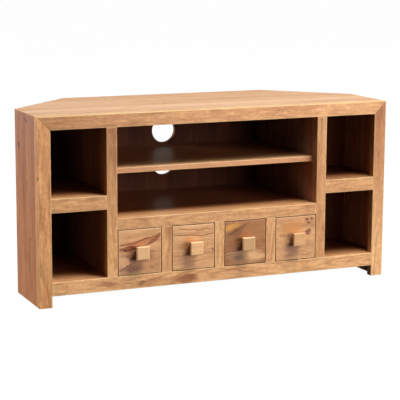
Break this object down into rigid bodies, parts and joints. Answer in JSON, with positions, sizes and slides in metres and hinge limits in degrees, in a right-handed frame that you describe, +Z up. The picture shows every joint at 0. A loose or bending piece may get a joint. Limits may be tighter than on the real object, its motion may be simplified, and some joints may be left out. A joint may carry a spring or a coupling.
{
  "type": "corner media cabinet",
  "caption": "Low corner media cabinet in solid wood: mitred face frame, angled back, open side and centre bays, cable holes, and inset drawers with square knobs.",
  "frame": {"origin": "on the floor, in the middle of the whole object's footprint box, drawer knobs included", "axes": "+X to the right seen from the front, along the longest side; +Y from the front towards the room corner; +Z up"},
  "size_m": [1.2, 0.496, 0.588],
  "materials": {
    "frame_wood": "satin lacquer over light mango wood, golden tan with brown figure",
    "panel_wood": "satin lacquer over edge-glued mango boards, redder than the frame",
    "top_wood": "satin lacquer over edge-glued mango boards, the lightest wood of the cabinet",
    "shade_wood": "dark-stained boards that close the back",
    "drawer_front_wood": "satin lacquer over strongly figured mango wood with knots and spalting",
    "drawer_box_wood": "plain sanded wood",
    "knob_wood": "satin lacquer over pale wood",
    "screw_steel": "zinc-plated steel"
  },
  "bodies": {
    "root": {"top_panel": "top_wood", "front_top_rail": "frame_wood", "right_stile": "frame_wood", "left_stile": "frame_wood", "front_bottom_rail": "frame_wood", "deck_rail": "frame_wood", "right_divider_stile": "frame_wood", "left_divider_stile": "frame_wood", "right_shelf_rail": "frame_wood", "left_shelf_rail": "frame_wood", "right_side_panel": "panel_wood", "left_side_panel": "panel_wood", "bottom_panel": "panel_wood", "right_divider_panel": "panel_wood", "left_divider_panel": "panel_wood", "centre_deck": "panel_wood", "middle_shelf": "frame_wood", "right_shelf": "panel_wood", "left_shelf": "panel_wood", "back_panel": "shade_wood", "right_angled_back": "shade_wood", "left_angled_back": "shade_wood", "right_rear_foot": "panel_wood", "left_rear_foot": "panel_wood", "drawer_mullion_1": "frame_wood", "drawer_mullion_2": "frame_wood", "drawer_mullion_3": "frame_wood", "drawer_guide_1": "drawer_box_wood", "drawer_guide_2": "drawer_box_wood", "drawer_guide_3": "drawer_box_wood", "drawer_stop_rail": "drawer_box_wood"},
    "drawer_1": {"drawer_1_front": "drawer_front_wood", "drawer_1_right_side": "drawer_box_wood", "drawer_1_left_side": "drawer_box_wood", "drawer_1_back": "drawer_box_wood", "drawer_1_floor": "drawer_box_wood", "drawer_1_knob": "knob_wood", "drawer_1_knob_screw": "screw_steel"},
    "drawer_2": {"drawer_2_front": "drawer_front_wood", "drawer_2_right_side": "drawer_box_wood", "drawer_2_left_side": "drawer_box_wood", "drawer_2_back": "drawer_box_wood", "drawer_2_floor": "drawer_box_wood", "drawer_2_knob": "knob_wood", "drawer_2_knob_screw": "screw_steel"},
    "drawer_3": {"drawer_3_front": "drawer_front_wood", "drawer_3_right_side": "drawer_box_wood", "drawer_3_left_side": "drawer_box_wood", "drawer_3_back": "drawer_box_wood", "drawer_3_floor": "drawer_box_wood", "drawer_3_knob": "knob_wood", "drawer_3_knob_screw": "screw_steel"},
    "drawer_4": {"drawer_4_front": "drawer_front_wood", "drawer_4_right_side": "drawer_box_wood", "drawer_4_left_side": "drawer_box_wood", "drawer_4_back": "drawer_box_wood", "drawer_4_floor": "drawer_box_wood", "drawer_4_knob": "knob_wood", "drawer_4_knob_screw": "screw_steel"}
  },
  "joints": [
    {"name": "drawer_1_slide", "type": "slide", "parent": "root", "child": "drawer_1", "axis": [0, -1, 0], "range_m": [0, 0.27]},
    {"name": "drawer_2_slide", "type": "slide", "parent": "root", "child": "drawer_2", "axis": [0, -1, 0], "range_m": [0, 0.27]},
    {"name": "drawer_3_slide", "type": "slide", "parent": "root", "child": "drawer_3", "axis": [0, -1, 0], "range_m": [0, 0.27]},
    {"name": "drawer_4_slide", "type": "slide", "parent": "root", "child": "drawer_4", "axis": [0, -1, 0], "range_m": [0, 0.27]}
  ]
}
